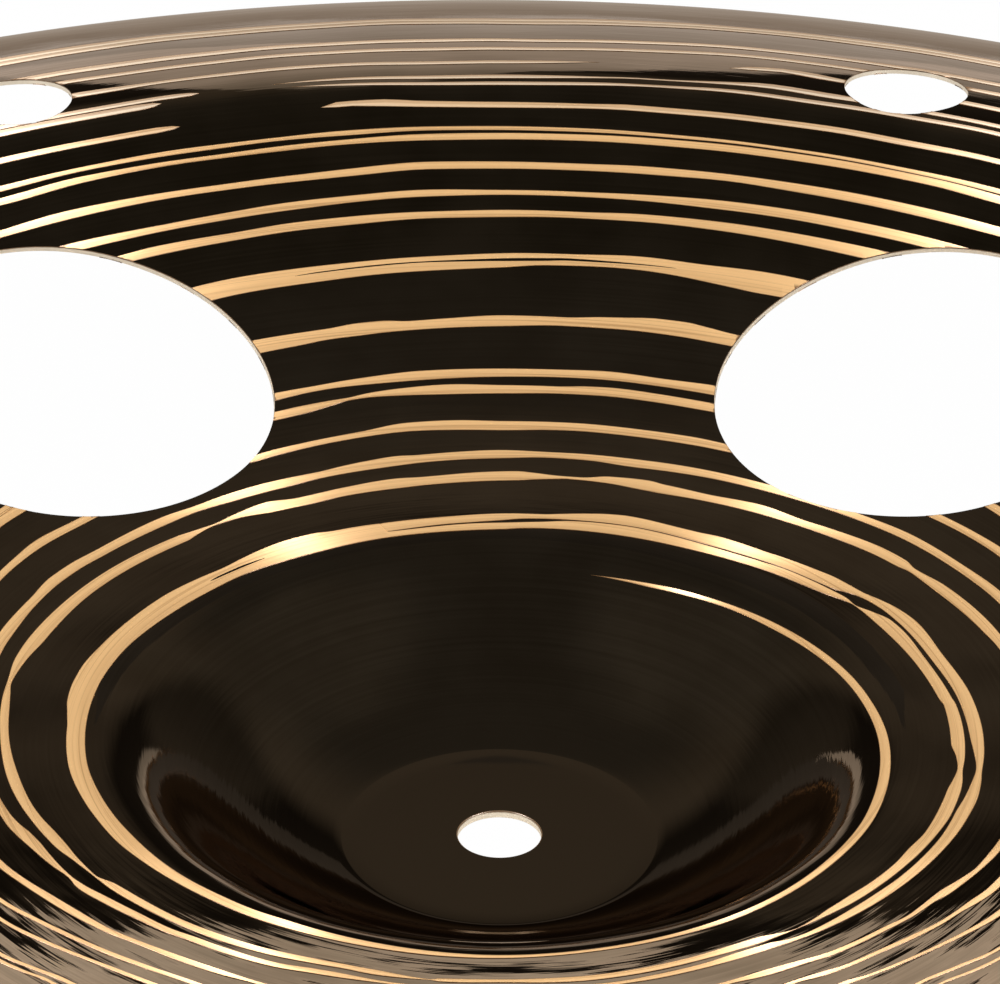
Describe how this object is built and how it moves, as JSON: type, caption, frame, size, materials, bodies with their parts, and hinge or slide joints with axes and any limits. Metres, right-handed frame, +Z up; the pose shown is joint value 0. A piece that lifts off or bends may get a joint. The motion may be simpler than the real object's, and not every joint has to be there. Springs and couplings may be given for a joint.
{
  "type": "china cymbal",
  "caption": "Thin round dished bronze cymbal with a flat-topped bell, a turned-back flange at the rim, large round cut-outs in the bow and small ones beyond them.",
  "frame": {"origin": "centre of the stand hole on the outer face of the bell's crown, which is the lowest point of the part", "axes": "+Z up the stand's rod, out of the bell into the hollow side; +Y midway between two large cut-outs, but for a turn of 0.8 degrees"},
  "size_m": [0.4572, 0.4572, 0.0502],
  "materials": {
    "dark_bronze": "dark, glossy burnt finish over bronze, with a wandering spiral of bright lathed bands on both faces"
  },
  "bodies": {
    "root": {"cymbal": "dark_bronze"}
  },
  "joints": []
}
